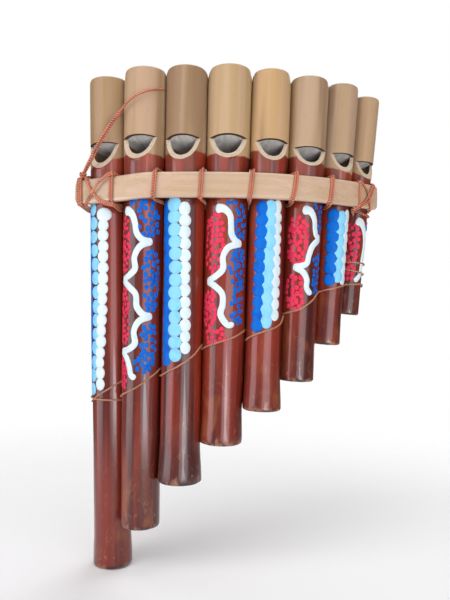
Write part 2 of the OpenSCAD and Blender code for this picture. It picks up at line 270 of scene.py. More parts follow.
class Finish:
    """A material under construction: short calls that add nodes and link their inputs."""

    def __init__(self, name):
        self.material = bpy.data.materials.new(name)
        self.material.use_nodes = True
        self.tree = self.material.node_tree
        self.tree.nodes.clear()
        self.shader = self.add("BsdfPrincipled")
        output = self.add("OutputMaterial")
        self.tree.links.new(self.shader.outputs[0], output.inputs["Surface"])
        self.place = self.add("TexCoord").outputs["Object"]
        split = self.add("SeparateXYZ", {0: self.place})
        self.x, self.y, self.z = split.outputs

    def add(self, kind, inputs=None, **settings):
        made = self.tree.nodes.new("ShaderNode" + kind)
        for key, value in settings.items():
            setattr(made, key, value)
        for key, value in (inputs or {}).items():
            if isinstance(value, bpy.types.NodeSocket):
                self.tree.links.new(value, made.inputs[key])
            else:
                made.inputs[key].default_value = value
        return made

    def math(self, operation, a, b=0.0):
        return self.add("Math", {0: a, 1: b}, operation=operation).outputs[0]

    def times(self, a, b, plus=0.0):
        return self.add("Math", {0: a, 1: b, 2: plus}, operation="MULTIPLY_ADD").outputs[0]

    def clamp(self, value, low, high, out_low=0.0, out_high=1.0):
        """Value mapped smoothly from low..high to out_low..out_high, and held there."""
        return self.add("MapRange", {"Value": value, "From Min": low, "From Max": high,
                                     "To Min": out_low, "To Max": out_high},
                        interpolation_type="SMOOTHSTEP").outputs["Result"]

    def noise(self, scale, detail=3.0, stretch=(1, 1, 1), shift=0.0, distortion=0.0, rough=0.5):
        """Noise whose size is set per metre; stretch below 1 draws it out along that axis."""
        offset = (shift, 0.37 * shift, -0.61 * shift)
        mapped = self.add("Mapping", {0: self.place, 1: offset, 3: stretch})
        return self.add("TexNoise", {"Vector": mapped.outputs[0], "Scale": scale, "Detail": detail,
                                     "Roughness": rough, "Distortion": distortion}).outputs["Fac"]

    def mix(self, factor, a, b):
        return self.add("Mix", {0: factor, 6: a, 7: b}, data_type="RGBA").outputs[2]

    def tint(self, colour, towards, mask, low, high, most=1.0):
        """The colour, mixed towards another by up to most as the mask rises from low to high."""
        return self.mix(self.clamp(mask, low, high, 0, most), colour, towards)

    def bump(self, height, distance, strength):
        inputs = {"Height": height, "Distance": distance, "Strength": strength}
        return self.add("Bump", inputs).outputs[0]

    def set(self, **values):
        for key, value in values.items():
            socket = self.shader.inputs[key.replace("_", " ")]
            if isinstance(value, bpy.types.NodeSocket):
                self.tree.links.new(value, socket)
            else:
                socket.default_value = value
        return self.material


# ---- materials
NATURAL = srgb(178, 148, 122)
GOLDEN = srgb(166, 136, 94)
BROWN = srgb(120, 92, 64)
HEAD_TONE = [           # what each cane's bare head leans towards
    srgb(128, 102, 62), srgb(166, 138, 108), srgb(142, 118, 88), srgb(168, 144, 102),
    srgb(182, 148, 98), srgb(154, 134, 106), srgb(150, 128, 104), srgb(152, 126, 92)]
GREYED = srgb(140, 120, 98)
STAIN = srgb(124, 38, 20)
STAIN_DARK = srgb(64, 15, 9)
STAIN_LIGHT = srgb(164, 74, 38)
CUT = srgb(196, 180, 156)
CUT_DARK = srgb(138, 112, 84)
STAIN_Z = [16, 18.4, 19.4, 18, 20, 17.6, 14, 13]            # the lacquer's edge on each axis
STAIN_TILT = [3.4, -0.4, 1, -0.6, -1.6, -1.9, -1.2, -1.9]   # how much higher it is at the right
FOOT_SHADE = [0.1, 0, 0.75, 0.1, 0.25, 0.4, 0.35, 0.5]      # how dark the lacquer is at each foot


def bare_cane(f, i, grain, bands):
    """Dry cane: golden bands, this cane's own tone, brown stripes, greyed grain and flecks."""
    flecks = f.noise(1500, 2, (1, 1, 0.15), shift=0.2 * i)
    stripes = f.noise(75, 2, (1, 1, 0.06), shift=0.19 * i + 0.1)
    colour = f.tint(NATURAL, GOLDEN, bands, 0.42, 0.66)
    colour = f.mix(0.5, colour, HEAD_TONE[i])
    colour = f.tint(colour, BROWN, stripes, 0.5, 0.62, 0.6)
    colour = f.tint(colour, GREYED, grain, 0.5, 0.78, 0.3)
    return f.tint(colour, srgb(110, 80, 52), flecks, 0.68, 0.78, 0.35)


def below_brushed_edge(f, i):
    """1 where a pipe is lacquered and 0 above, with the uneven edge that a brush leaves."""
    waves = f.noise(90, 1, (1, 1, 0.3), shift=0.13 * i)
    bristles = f.noise(800, 2, (1, 1, 0.06), shift=0.17 * i)
    edge = f.times(f.x, STAIN_TILT[i] / SLAT_R[i], STAIN_Z[i] * MM)
    edge = f.times(f.math("SUBTRACT", waves, 0.5), 0.003, edge)
    edge = f.times(f.math("SUBTRACT", bristles, 0.5), 0.0009, edge)
    return f.clamp(f.math("SUBTRACT", edge, f.z), -0.0004, 0.0007)


def cane_skin(i):
    """The outside of a pipe: bare cane above, red-brown lacquer below, and a worn foot."""
    f = Finish(f"cane_skin_{i + 1}")
    foot = -FOOT_DEPTH[i] * MM

    def by_foot(start, end, at_foot=1, above=0):
        """A value that goes from at_foot to above between two heights over the foot."""
        return f.clamp(f.z, foot + start, foot + end, at_foot, above)

    grain = f.noise(900, 5, (1, 1, 0.025), shift=0.11 * i)
    bands = f.noise(170, 3, (1, 1, 0.03), shift=0.07 * i + 0.3)
    blotch = f.noise(60, 4, (1, 1, 0.4), shift=0.05 * i)
    wear = f.noise(300, 5, (1, 1, 0.6), shift=0.23 * i, rough=0.66)
    rub = f.noise(120, 2, (1, 1, 0.5), shift=0.31 * i, distortion=0.8)
    lacquer = below_brushed_edge(f, i)
    stain = f.tint(STAIN, STAIN_DARK, bands, 0.4, 0.66)
    stain = f.tint(stain, STAIN_LIGHT, blotch, 0.5, 0.8, 0.5)
    stain = f.tint(stain, STAIN_LIGHT, f.z, -0.016, 0.006, 0.12)
    stain = f.tint(stain, STAIN_DARK, grain, 0.5, 0.8, 0.35)
    # Low down the lacquer is rubbed golden in places, and darker towards the foot.
    golden = f.times(f.clamp(rub, 0.5, 0.74), by_foot(0.012, 0.06))
    stain = f.mix(f.times(golden, 0.5), stain, srgb(150, 84, 44))
    stain = f.mix(by_foot(0.006, 0.045, FOOT_SHADE[i]), stain, srgb(56, 27, 26))
    # It is worn through at the foot, and thinly along curved scratches.
    at_edge = by_foot(0.0006, 0.0032)
    worn = f.math("MAXIMUM", f.times(f.clamp(wear, 0.57, 0.66), by_foot(0.001, 0.014)),
                  f.times(f.clamp(wear, 0.46, 0.58), at_edge))
    ridge = f.math("ABSOLUTE", f.math("SUBTRACT", rub, 0.5))
    scratches = f.times(f.clamp(ridge, 0.004, 0.02, 1, 0), f.clamp(wear, 0.45, 0.6))
    scratches = f.times(scratches, by_foot(0.02, 0.085, 0.7, 0.15))
    worn = f.times(f.math("MAXIMUM", worn, f.times(scratches, 0.4)), lacquer)
    stain = f.mix(f.times(worn, 0.55), stain, srgb(184, 136, 98))
    colour = f.mix(lacquer, bare_cane(f, i, grain, bands), stain)
    # The end of the foot is end grain under the same lacquer, dark and grubby.
    grubby = f.times(at_edge, f.clamp(wear, 0.4, 0.56, 0.9, 0.25))
    colour = f.mix(grubby, colour, srgb(38, 20, 15))
    rough = f.times(blotch, 0.12, f.clamp(lacquer, 0, 1, 0.5, 0.36))
    height = f.times(worn, -0.6, f.times(grain, 0.5, f.times(lacquer, 0.5)))
    return f.set(Base_Color=colour, Roughness=rough, Normal=f.bump(height, 0.00016, 0.5),
                 Coat_Weight=f.clamp(lacquer, 0, 1, 0.12, 0.75), Coat_Roughness=0.09,
                 Coat_IOR=1.5, IOR=1.35)


def cane_cut():
    """Cut cane: pale wood whose fibre layers show as fine lines round the bore."""
    f = Finish("cane_cut")
    flat = f.add("CombineXYZ", {0: f.x, 1: f.y, 2: 0.0}).outputs[0]
    radius = f.add("VectorMath", {0: flat}, operation="LENGTH").outputs["Value"]
    drift = f.noise(500, 3, (1, 1, 0.3))
    layers = f.math("SINE", f.times(radius, 14500, f.times(drift, 9)))
    fibre = f.noise(1700, 3, (1, 1, 0.12))
    colour = f.tint(CUT, CUT_DARK, layers, 0.1, 1.0, 0.4)
    colour = f.tint(colour, srgb(154, 126, 96), fibre, 0.52, 0.75, 0.6)
    dirt = f.noise(190, 4, shift=0.4)
    colour = f.tint(colour, srgb(126, 100, 76), dirt, 0.55, 0.75, 0.3)
    height = f.math("ADD", layers, fibre)
    return f.set(Base_Color=colour, Roughness=0.62, Normal=f.bump(height, 0.00008, 0.5))


def cane_edge():
    """The saw cut above a window, coloured a dark brown."""
    f = Finish("cane_edge")
    fibre = f.noise(1700, 3)
    colour = f.tint(srgb(74, 52, 38), srgb(48, 33, 25), fibre, 0.4, 0.7)
    return f.set(Base_Color=colour, Roughness=0.8, Normal=f.bump(fibre, 0.0001, 0.6))


def cane_bore():
    """The inside of a pipe: pithy, darker and dull."""
    f = Finish("cane_bore")
    grain = f.noise(800, 4, (1, 1, 0.03))
    blotch = f.noise(120, 3)
    colour = f.tint(srgb(120, 96, 70), srgb(84, 62, 43), grain, 0.4, 0.7)
    colour = f.tint(colour, srgb(64, 46, 33), blotch, 0.45, 0.7, 0.5)
    return f.set(Base_Color=colour, Roughness=0.75, Normal=f.bump(grain, 0.00015, 0.6))


def block_wood():
    """The whistle blocks: warm wood with end grain on top, pale grey on their undersides."""
    f = Finish("block_wood")
    rings = f.noise(330, 3, (1, 0.35, 0.2), distortion=0.6)
    pores = f.noise(2600, 2, (1, 1, 0.1))
    ring = f.clamp(rings, 0.4, 0.65)
    # The undersides' pale grey is partly the wood's own colour and partly painted light: it is kept
    # lighter than the wood to stand in for the light that comes in through the window.
    greyed = f.mix(ring, srgb(206, 203, 197), srgb(182, 178, 170))
    warm = f.mix(ring, srgb(186, 156, 120), srgb(166, 136, 102))
    colour = f.tint(greyed, warm, f.z, 0.035, 0.055)
    colour = f.tint(colour, srgb(120, 104, 86), pores, 0.6, 0.75, 0.5)
    return f.set(Base_Color=colour, Roughness=0.7, Normal=f.bump(pores, 0.0001, 0.6))


def split_bamboo(name, tone):
    """The slats: split cane with its fibres along the row, handled smooth and a little smudged."""
    f = Finish(name)
    fibre = f.noise(1300, 5, (0.018, 1, 1), rough=0.6)
    bands = f.noise(260, 3, (0.03, 1, 1), shift=0.3)
    smudge = f.noise(75, 4, (0.5, 1, 1), shift=0.7)
    flecks = f.noise(1500, 2, (0.12, 1, 1), shift=0.5)
    colour = f.tint(tone, srgb(174, 146, 114), bands, 0.38, 0.64)
    colour = f.tint(colour, srgb(146, 116, 86), fibre, 0.5, 0.74, 0.3)
    colour = f.tint(colour, srgb(104, 78, 56), flecks, 0.67, 0.76, 0.35)
    colour = f.tint(colour, srgb(132, 112, 94), smudge, 0.52, 0.74, 0.35)
    # The upper and lower edges are worn pale, and painted lighter still as a painted highlight where
    # their rounded edges catch the light.
    edge = f.clamp(f.math("ABSOLUTE", f.math("ADD", f.z, 0.0008)), 0.0056, 0.0074, 0, 0.55)
    colour = f.mix(edge, colour, srgb(205, 184, 160))
    height = f.times(fibre, 0.8, f.times(bands, 0.5))
    return f.set(Base_Color=colour, Roughness=f.clamp(fibre, 0.3, 0.8, 0.42, 0.6),
                 Normal=f.bump(height, 0.00018, 0.5), Coat_Weight=0.3, Coat_Roughness=0.24)


def waxed_cord(name, base, light, dark):
    """Twisted cord, stiff with coloured wax, with painted highlights where a strand stands proud and
    painted shade in the grooves between them.
    """
    f = Finish(name)
    lint = f.noise(2600, 3, (1, 1, 1))
    tone = f.noise(160, 3, shift=0.5)
    proud = f.add("Attribute", attribute_name="proud").outputs["Fac"]
    colour = f.tint(base, dark, tone, 0.38, 0.68, 0.6)
    # Painted highlights on the strands' proud crowns.
    colour = f.tint(colour, light, proud, 0.55, 1.0, 0.85)
    colour = f.tint(colour, light, lint, 0.54, 0.76, 0.4)
    # Painted shade in the grooves between the strands.
    colour = f.mix(f.clamp(proud, 0.1, 0.65, 1, 0), colour, dark)
    return f.set(Base_Color=colour, Roughness=0.42, Sheen_Weight=0.2, Sheen_Roughness=0.4,
                 Coat_Weight=0.25, Coat_Roughness=0.3, Normal=f.bump(lint, 0.0001, 0.6))


def paint(name, base, pooled):
    """Thick craft paint with a soft sheen, a little darker where it pooled."""
    f = Finish(name)
    tone = f.noise(210, 3, shift=0.2)
    skin = f.noise(900, 2)
    colour = f.tint(base, pooled, tone, 0.48, 0.72, 0.8)
    return f.set(Base_Color=colour, Roughness=f.clamp(skin, 0.3, 0.7, 0.38, 0.5),
                 Normal=f.bump(skin, 0.00006, 0.4), Specular_IOR_Level=0.12)


# ---- mesh helpers
def new_object(name, points, faces, materials, marks=None, matrix=Matrix(), sharp=40):
    """A mesh object from points in millimetres; marks gives each face its material's place."""
    mesh = bpy.data.meshes.new(name)
    mesh.from_pydata((np.asarray(points, float) * MM).tolist(), [], faces)
    for material in materials:
        mesh.materials.append(material)
    if marks is not None:
        mesh.polygons.foreach_set("material_index", marks)
    mesh.polygons.foreach_set("use_smooth", [True] * len(mesh.polygons))
    mesh.set_sharp_from_angle(angle=radians(sharp))
    mesh.update()
    return add_object(name, mesh, matrix)


def ring_faces(rings, around, first=0):
    """Quads that join rings of the same number of points, each ring to the next."""
    return [[first + k * around + j, first + k * around + (j + 1) % around,
             first + (k + 1) * around + (j + 1) % around, first + (k + 1) * around + j]
            for k in range(rings - 1) for j in range(around)]


def tube_faces(rings, around, first=0):
    """The same, with a flat face over each end."""
    end = first + (rings - 1) * around
    return ring_faces(rings, around, first) + [
        [first + j for j in range(around)][::-1], [end + j for j in range(around)]]


def pointed_faces(rings, around, first=0):
    """The same between two end points, one before the rings' points and one after them."""
    ring, tip = first + 1 + (rings - 1) * around, first + 1 + rings * around
    return ([[first, first + 1 + (j + 1) % around, first + 1 + j] for j in range(around)]
            + ring_faces(rings, around, first + 1)
            + [[ring + j, ring + (j + 1) % around, tip] for j in range(around)])


def fix_normals(piece):
    work = bmesh.new()
    work.from_mesh(piece.data)
    bmesh.ops.recalc_face_normals(work, faces=work.faces)
    work.to_mesh(piece.data)
    work.free()


def place(piece, node_names, slot):
    """Ride the piece on the one body, in place of its CAD nodes if it has any."""
    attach(piece, "root")
    if node_names:
        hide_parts(*node_names)
    return piece


# ---- pipes
TURNS = 112           # points round a pipe
TOP_ACROSS = 1.3      # the sanded mouth rim
TOP_DOWN = 2.2
FOOT_ROUND = 1.5
RING_STEP = 2.4       # from one ring of a pipe's points to the next
SKIN, CUT_FACE, BORE, SAW_CUT = range(4)     # the places of a pipe's materials


def pipe_profile(i):
    """The outline that a pipe is turned from, as (radius, z, the material of that stretch)."""
    foot, top = -FOOT_DEPTH[i], HEAD_TOP[i]
    head_bore, low_bore = HEAD_R[i] - WALL, LOW_R[i] - WALL
    under_node = foot + FOOT_HOLLOW
    over_node = under_node + NODE_T
    outline = [(0, under_node, BORE), (low_bore * 0.5, under_node + 0.3, BORE),
               (low_bore - 1.3, under_node, BORE), (low_bore - 1, under_node - 0.5, BORE),
               (low_bore - 1, foot + 0.5, SKIN), (low_bore - 0.6, foot, SKIN)]
    for a in np.radians(np.arange(-90, 1, 18)):
        z = foot + FOOT_ROUND * (1 + sin(a))
        outline.append((outer_r(i, z) - FOOT_ROUND * (1 - cos(a)), z, SKIN))
    for z in np.linspace(foot + FOOT_ROUND, top - TOP_DOWN, int((top - foot) / RING_STEP))[1:]:
        outline.append((outer_r(i, z), z, SKIN))
    for a in np.radians(np.arange(15, 91, 15)):
        outline.append((HEAD_R[i] - TOP_ACROSS * (1 - cos(a)),
                        top - TOP_DOWN * (1 - sin(a)), SKIN if a < 0.9 else CUT_FACE))
    outline += [(head_bore + 0.2, top, CUT_FACE), (head_bore, top - 0.25, BORE)]
    outline += [(head_bore, z, BORE) for z in np.linspace(top - 4, WINDOW_Z[i] - WINDOW_H[i], 12)]
    outline += [(low_bore, z, BORE) for z in np.linspace(-20, over_node + 1.2, 8)]
    return outline + [(low_bore - 0.4, over_node + 0.3, BORE), (low_bore - 1.4, over_node, BORE),
                      (0, over_node, BORE)]


def turned_pipe(i, materials):
    """A pipe without its window. The rim of its foot is a little chipped."""
    outline = pipe_profile(i)
    angle = circle(TURNS)
    chips = 0.45 * np.clip(np.sin(5 * angle + i) * np.sin(3 * angle + 2.3 * i) - 0.25, 0, 1)
    points = [(0, 0, outline[0][1])]
    for r, z, mark in outline[1:-1]:
        r = np.full(TURNS, float(r))
        if mark == SKIN:
            r += wobble(i, angle, z) + swell_to_neighbours(i, angle, z)
            r -= chips * np.clip(1 - (z + FOOT_DEPTH[i]) / 2.5, 0, 1)
        points += zip(r * np.sin(angle), -r * np.cos(angle), np.full(TURNS, float(z)))
    points.append((0, 0, outline[-1][1]))
    marks = [stretch[2] for stretch in outline[1:] for _ in range(TURNS)]
    faces = pointed_faces(len(outline) - 2, TURNS)
    return new_object(f"turned_{i + 1}", points, faces, materials, marks, pipe_frame(i))


def window_cutter(i, materials):
    """The wedge that a saw and a knife take out for the window. The knife's face is hollow."""
    r, rise, over = HEAD_R[i], tan(radians(WINDOW_SLOPE[i])), 3
    inner = (WINDOW_DEPTH[i] - r, WINDOW_Z[i] - WINDOW_DEPTH[i] * rise)
    foot_z = WINDOW_Z[i] - WINDOW_H[i]
    steep = (inner[1] - foot_z) / WINDOW_DEPTH[i]
    low = (-r - over, foot_z - over * steep)
    section = [(-r - over, WINDOW_Z[i] + over * rise)]
    skin_at = WINDOW_DEPTH[i] / (WINDOW_DEPTH[i] + over)
    for t in np.linspace(0, 1, 25):
        hollow = HOLLOW * WINDOW_H[i] * sin(pi * min(t / skin_at, 1))
        section.append((inner[0] + t * (low[0] - inner[0]),
                        inner[1] + t * (low[1] - inner[1]) - hollow))
    points = []
    stations = np.linspace(-2 * r, 2 * r, 41)
    for x in stations:
        for k, (y, z) in enumerate(section):
            chatter = 0.05 * sin(0.9 * x + 0.8 * k + i) * sin(0.37 * x - k)
            points.append((x, y, z + (chatter if k > 1 else 0.0)))
    around = len(section)
    marks = ([SAW_CUT] + [CUT_FACE] * (around - 1)) * (len(stations) - 1) + [CUT_FACE] * 2
    faces = tube_faces(len(stations), around)
    return new_object("cutter", points, faces, materials, marks, window_frame(i))


def make_pipe(i, cut_face, bore, saw_cut):
    materials = [cane_skin(i), cut_face, bore, saw_cut]
    blank, cutter = turned_pipe(i, materials), window_cutter(i, materials)
    fix_normals(blank)
    fix_normals(cutter)
    bpy.context.view_layer.update()
    carve = blank.modifiers.new("window", "BOOLEAN")
    carve.object = cutter
    carve.operation = "DIFFERENCE"
    carve.solver = "EXACT"
    ready = blank.evaluated_get(bpy.context.evaluated_depsgraph_get())
    mesh = bpy.data.meshes.new_from_object(ready)
    mesh.name = f"bamboo_pipe_{i + 1}"
    mesh.set_sharp_from_angle(angle=radians(38))
    for spare in (blank, cutter):
        bpy.data.objects.remove(spare)
    piece = add_object(mesh.name, mesh, pipe_frame(i))
    return place(piece, [f"pipe_{i + 1}"], "lacquered_bamboo")


# ---- whistle blocks
def make_block(i, wood):
    """A block fills its head above the window, and its flat front leaves the air duct open."""
    r = HEAD_R[i] - WALL - FIT
    rise, fall = tan(radians(WINDOW_SLOPE[i])), tan(radians(BLOCK_SLOPE))
    deep = WINDOW_DEPTH[i] - HEAD_R[i]
    inner = WINDOW_Z[i] - WINDOW_DEPTH[i] * rise + BLOCK_SHORT
    flat = -r + DUCT_T
    opening = np.degrees(acos(-flat / r))
    rim = [(r * sin(a), -r * cos(a))
           for a in np.radians(np.linspace(opening, 360 - opening, 72))]
    half = r * sin(radians(opening))
    rim += [(x, flat) for x in np.linspace(-half, half, 14)[1:-1]]
    around, side_rings = len(rim), 6
    scales = [0, 0.15, 0.3, 0.45, 0.6, 0.75, 0.88, 0.97, 1]

    def under(y):
        return inner + (deep - y) * rise if y < deep else inner - (y - deep) * fall

    points = [(0, 0, under(0))]
    for scale in scales[1:]:
        points += [(x * scale, y * scale, under(y * scale)) for x, y in rim]
    for t in np.linspace(0.1, 0.97, side_rings):
        points += [(x, y, under(y) + t * (HEAD_TOP[i] - under(y))) for x, y in rim]
    for scale in scales[:0:-1]:
        crown = HEAD_TOP[i] - 0.1 - 0.35 * scale ** 6
        points += [(x * scale, y * scale, crown + 0.04 * sin(x + 2 * y)) for x, y in rim]
    points.append((0, 0, HEAD_TOP[i] - 0.1))
    faces = pointed_faces(2 * len(scales[1:]) + side_rings, around)
    piece = new_object(f"whistle_block_{i + 1}", points, faces, [wood], None, window_frame(i))
    return place(piece, [f"fipple_block_{i + 1}"], "plain_wood")


# ---- slats
def slat_between(i, t):
    """The front slat's inner face, a part t of the way from one pipe to the next."""
    p, q, a, b = CONTACT[i], CONTACT[i + 1], BEARING[i], BEARING[i + 1]
    reach = np.linalg.norm(q - p)
    return ((2 * t ** 3 - 3 * t * t + 1) * p + (t ** 3 - 2 * t * t + t) * reach * along(a)
            + (3 * t * t - 2 * t ** 3) * q + (t ** 3 - t * t) * reach * along(b))


def front_curve():
    """The front slat's inner face as points and directions, with a straight run at each end."""
    left = BEARING[0] - END_TURN
    curve = [(CONTACT[0] - FRONT_LEFT * along(left), left),
             (CONTACT[0] - 0.5 * FRONT_LEFT * along(left), left + 1.5)]
    for i in range(LAST):
        for t in np.linspace(0, 1, 8, endpoint=False):
            curve.append((slat_between(i, t), BEARING[i] + (BEARING[i + 1] - BEARING[i]) * t))
    curve.append((CONTACT[LAST], BEARING[LAST]))
    curve.append((CONTACT[LAST] + FRONT_RIGHT * along(BEARING[LAST]), BEARING[LAST]))
    return curve


def back_curve():
    xs = np.linspace(BACK_LEFT_X, BACK_RIGHT_X, 60)
    return [(np.array([x, back_at(x)]), np.degrees(atan(2 * BACK_BOW * (x - BACK_MIDDLE))))
            for x in xs]


def back_at(x):
    return SLAT_R[MIDDLE] + CLEAR + 0.1 + BACK_BOW * (x - BACK_MIDDLE) ** 2


def droop(x):
    """The front slat hangs half a millimetre low, and lower still at its left end."""
    return -0.5 - 1.4 * smooth_step((-42 - x) / 24)


BEVEL = 1.1
CROWN = 0.22          # how far the middle of a slat's face stands over its edges
SLAT_STEP = 1.6


def corner_drop(distance, radius):
    """How far a rounded corner has fallen away at a distance from the end."""
    if distance >= radius:
        return 0
    return radius - sqrt(max(radius ** 2 - (radius - distance) ** 2, 0))


def slat_section(thick, thin, top, bottom):
    """A slat's outline as (out, z): round edges at the face, and small chamfers behind.
    thin is how much its two sides come in, near a worn end."""
    face = thick - thin
    corner = [radians(22.5 * k) for k in range(5)]
    section = [(face - BEVEL + BEVEL * sin(a), top - BEVEL + BEVEL * cos(a)) for a in corner]
    for t in np.linspace(0, 1, 9)[1:-1]:
        section.append((face, top - BEVEL + t * (bottom - top + 2 * BEVEL)))
    for a in corner:
        section.append((face - BEVEL + BEVEL * cos(a), bottom + BEVEL - BEVEL * sin(a)))
    section += [(thin + 0.5, bottom), (thin + 0.15, bottom + 0.15), (thin, bottom + 0.5)]
    return section + [(thin, top - 0.5), (thin + 0.15, top - 0.15), (thin + 0.5, top)]


def make_slat(name, curve, thick, side, material, node_name, ends, sag):
    """A split-cane slat: a rounded section carried along its curve, with worn ends.
    side is +1 where the section grows towards the front of the curve, -1 towards its back.
    ends are the corner roundings (left top, left bottom, right top, right bottom)."""
    line = np.array([c[0] for c in curve])
    turn = np.array([c[1] for c in curve])
    run = run_along(line)
    total = run[-1]
    cap = 1 - np.cos(np.radians(np.linspace(8, 90, 9)))
    stations = np.concatenate([max(ends[:2]) * cap, np.arange(6, total - 6, SLAT_STEP),
                               total - max(ends[2:]) * cap[::-1]])
    half = SLAT_H / 2 - 0.2
    points = []
    for s in stations:
        p = np.array([np.interp(s, run, line[:, 0]), np.interp(s, run, line[:, 1])])
        out = front(np.interp(s, run, turn)) * side
        top_drop, low_drop, thin = (max(corner_drop(s, a), corner_drop(total - s, b)) for a, b in
                                    ((ends[0], ends[2]), (ends[1], ends[3]), (1.5, 1.5)))
        top = half - top_drop + 0.12 * sin(s / 13)
        bottom = -half + low_drop + 0.15 * sin(s / 17 + 2)
        section = slat_section(thick, thin * 0.6, top, bottom)
        for n, z in section:
            if n > thick / 2:
                n = n + CROWN * (1 - (z / half) ** 2) + 0.04 * sin(z * 2.1 + s / 9)
            flat = p + n * out
            points.append((flat[0], flat[1], z + sag(flat[0])))
    faces = tube_faces(len(stations), len(section))
    piece = new_object(name, points, faces, [material], sharp=50)
    fix_normals(piece)
    return place(piece, [node_name], "plain_bamboo")


# ---- cords
def smooth_path(points, spacing):
    """A curve through the points, as evenly spaced points."""
    p = np.asarray(points, float)
    p = np.vstack([2 * p[0] - p[1], p, 2 * p[-1] - p[-2]])

    def blend(a, b, start, end, t):
        return ((end - t) * a + (t - start) * b) / (end - start)

    fine = []
    for k in range(1, len(p) - 2):
        a, b, c, d = p[k - 1:k + 3]
        ta = np.linalg.norm(b - a) ** 0.5
        tb = ta + np.linalg.norm(c - b) ** 0.5
        tc = tb + np.linalg.norm(d - c) ** 0.5
        for t in np.linspace(ta, tb, 9)[:-1]:
            ab, bc, cd = blend(a, b, 0, ta, t), blend(b, c, ta, tb, t), blend(c, d, tb, tc, t)
            fine.append(blend(blend(ab, bc, 0, tb, t), blend(bc, cd, ta, tc, t), ta, tb, t))
    fine.append(p[-2])
    fine = np.array(fine)
    run = run_along(fine)
    even = np.linspace(0, run[-1], max(8, int(run[-1] / spacing)))
    return np.stack([np.interp(even, run, fine[:, k]) for k in range(3)], axis=1)


PLIES = 2
TWIST_LENGTH = 2.5    # one turn of the twist, in diameters
TWIST_DEPTH = 0.25    # depth of the grooves between the plies, in radii
CORD_SIDES = 24
CORD_STEP = 0.42      # from one ring of a cord's points to the next, in diameters


def cord_shell(points, diameter, first):
    """Points, faces and how proud each point stands, of one twisted cord along a path.
    first is the number of its first point."""
    path = smooth_path(points, CORD_STEP * diameter)
    n, head = len(path), directions(path)
    side = np.cross(head[0], [0.31, 0.42, 0.85])
    shell, proud, run = [], [], 0.0
    ring = circle(CORD_SIDES)
    for k in range(n):
        if k:
            run += np.linalg.norm(path[k] - path[k - 1])
        side = side - np.dot(side, head[k]) * head[k]
        side /= np.linalg.norm(side)
        up = np.cross(head[k], side)
        twist = 2 * pi * run / (TWIST_LENGTH * diameter)
        strand = np.abs(np.cos(PLIES * (ring - twist) / 2))
        proud += strand.tolist()
        r = diameter / 2 * (1 + TWIST_DEPTH * (1.6 * strand ** 0.8 - 1))
        end = min(k, n - 1 - k)
        r = r * (0.55 if end == 0 else 0.85 if end == 1 else 1.0)
        outwards = np.cos(ring)[:, None] * side + np.sin(ring)[:, None] * up
        shell += list(path[k] + r[:, None] * outwards)
    return shell, tube_faces(n, CORD_SIDES, first), proud


def make_cords(name, strands, diameter, material, node_name):
    points, faces, proud = [], [], []
    for strand in strands:
        shell, more, heights = cord_shell(strand, diameter, len(points))
        points += shell
        faces += more
        proud += heights
    piece = new_object(name, points, faces, [material], sharp=80)
    # The cord's material paints its highlights and groove shade from how proud each point stands.
    piece.data.attributes.new("proud", "FLOAT", "POINT").data.foreach_set("value", proud)
    return place(piece, [node_name], "waxed_cord")


def gap_at(i):
    """The middle of the space between a pipe and the next."""
    return CENTRES[i] + (SLAT_R[i] + PIPE_GAP / 2) * along(STEP_ANGLE[i])


def to_front(i):
    """How far it is from there, square to the row, to the front slat's face."""
    return np.dot(slat_between(i, 0.5) - gap_at(i), front(STEP_ANGLE[i])) + FRONT_T


def to_back(i):
    """How far it is to the back slat's outer face."""
    reach = SLAT_R[i]
    for _ in range(2):
        g = gap_at(i) - reach * front(STEP_ANGLE[i])
        reach = (back_at(g[0]) - gap_at(i)[1]) / cos(radians(STEP_ANGLE[i]))
    return reach + (BACK_T + 0.4) / cos(radians(STEP_ANGLE[i]))


PROUD = 0.3           # room between a slat's flat and a cord, for the crown of its face
TIE_SHIFT = [0.3, -1.6, -2.0, 1.1, -0.3, -1.4, -1.8]    # where ties lie along the front slat
TIE_SLANT = [0, 0.5, 0.3, 0.8, 1.2, 0.8, 0]             # how much further right at the top
TIE_SPREAD = 0.62     # half the distance between a tie's two turns
TIE_HALF = TIE_D / 2 + 0.05


def tie_route(i):
    """Two turns round both slats through the space between two pipes. The last tie takes one."""
    outwards, rightwards, g = front(STEP_ANGLE[i]), along(STEP_ANGLE[i]), gap_at(i)
    face = to_front(i) + TIE_HALF + PROUD
    back = -to_back(i) - TIE_HALF - PROUD
    back_top = SLAT_H / 2 + TIE_HALF
    top, low = back_top - 0.2 + droop(g[0]), back_top - 0.2 - droop(g[0])

    def turn(s, layer):
        """One turn: up behind, forwards over the top, down the face, and back underneath."""
        at_top, at_low = TIE_SHIFT[i] + s + TIE_SLANT[i], TIE_SHIFT[i] + s - TIE_SLANT[i]
        quarter, inside = TIE_SLANT[i] / 2, 0.3 * s
        return [(back, s, back_top + layer - 1), (back + 1, s, back_top + layer),
                (-6, inside, back_top + layer), (6, inside, top + layer),
                (face - 1.3, at_top, top + layer - 0.1), (face - 0.35, at_top, top + layer - 0.7),
                (face, at_top, top - 1.8), (face + 0.1, at_top - quarter, 0),
                (face, at_low + quarter, 1.8 - low), (face - 0.35, at_low, 0.7 - low - layer),
                (face - 1.3, at_low, 0.1 - low - layer), (6, inside, -low - layer),
                (-6, inside, -back_top - layer), (back + 1, s, -back_top - layer),
                (back, s, 1 - back_top - layer)]

    w = TIE_SPREAD if i < LAST - 1 else 0.0
    route = [(back, -w, -3), (back, -w, 2)] + turn(-w, 0) + (turn(w, 0.9) if w else [])
    route += [(back, w + 1.2, -2), (back, w + 1.2, 3)]
    return [[*(g + u * outwards + s * rightwards), z] for u, s, z in route]


